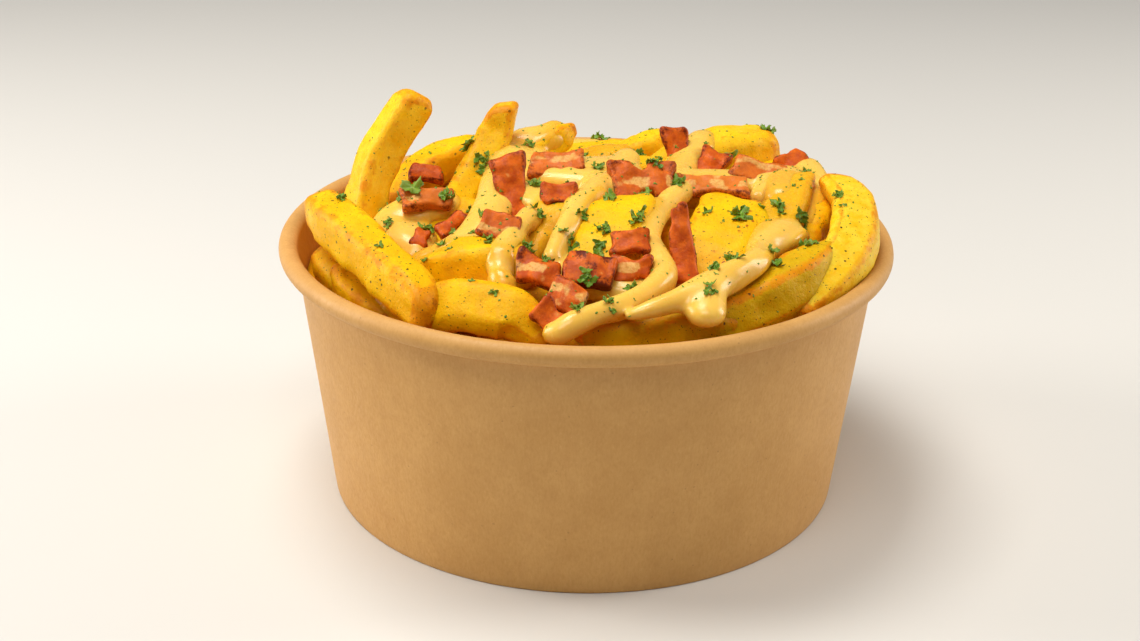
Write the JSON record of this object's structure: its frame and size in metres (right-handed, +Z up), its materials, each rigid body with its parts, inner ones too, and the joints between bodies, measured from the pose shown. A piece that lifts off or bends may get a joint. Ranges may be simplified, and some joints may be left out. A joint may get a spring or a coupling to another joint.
{
  "type": "cheese fries in a paper bowl",
  "caption": "Round kraft paper bowl heaped with thick-cut fries and potato wedges, topped with poured cheese sauce and torn bacon pieces.",
  "frame": {"origin": "centre of the bowl's foot, on the surface that the bowl stands on", "axes": "+Z up along the bowl's axis, -Y towards the side that the picture shows, +X to the right seen from that side"},
  "size_m": [0.15, 0.15, 0.0953],
  "materials": {
    "kraft_board": "matt",
    "fried_potato": "satin",
    "cheese_sauce": "gloss",
    "bacon": "satin"
  },
  "bodies": {
    "root": {"bowl": "kraft_board", "fries_heap": "fried_potato", "cheese_sauce_01": "cheese_sauce", "cheese_sauce_02": "cheese_sauce", "cheese_sauce_03": "cheese_sauce", "cheese_sauce_04": "cheese_sauce", "cheese_sauce_05": "cheese_sauce", "cheese_sauce_06": "cheese_sauce", "bacon_01": "bacon", "bacon_02": "bacon", "bacon_03": "bacon", "bacon_04": "bacon", "bacon_05": "bacon", "bacon_06": "bacon", "bacon_07": "bacon", "bacon_08": "bacon", "bacon_09": "bacon", "bacon_10": "bacon", "bacon_11": "bacon", "bacon_12": "bacon", "bacon_13": "bacon", "bacon_14": "bacon", "bacon_15": "bacon", "bacon_16": "bacon", "bacon_17": "bacon", "bacon_18": "bacon", "bacon_19": "bacon", "bacon_20": "bacon", "bacon_21": "bacon", "bacon_22": "bacon", "bacon_23": "bacon", "bacon_24": "bacon"}
  },
  "joints": []
}
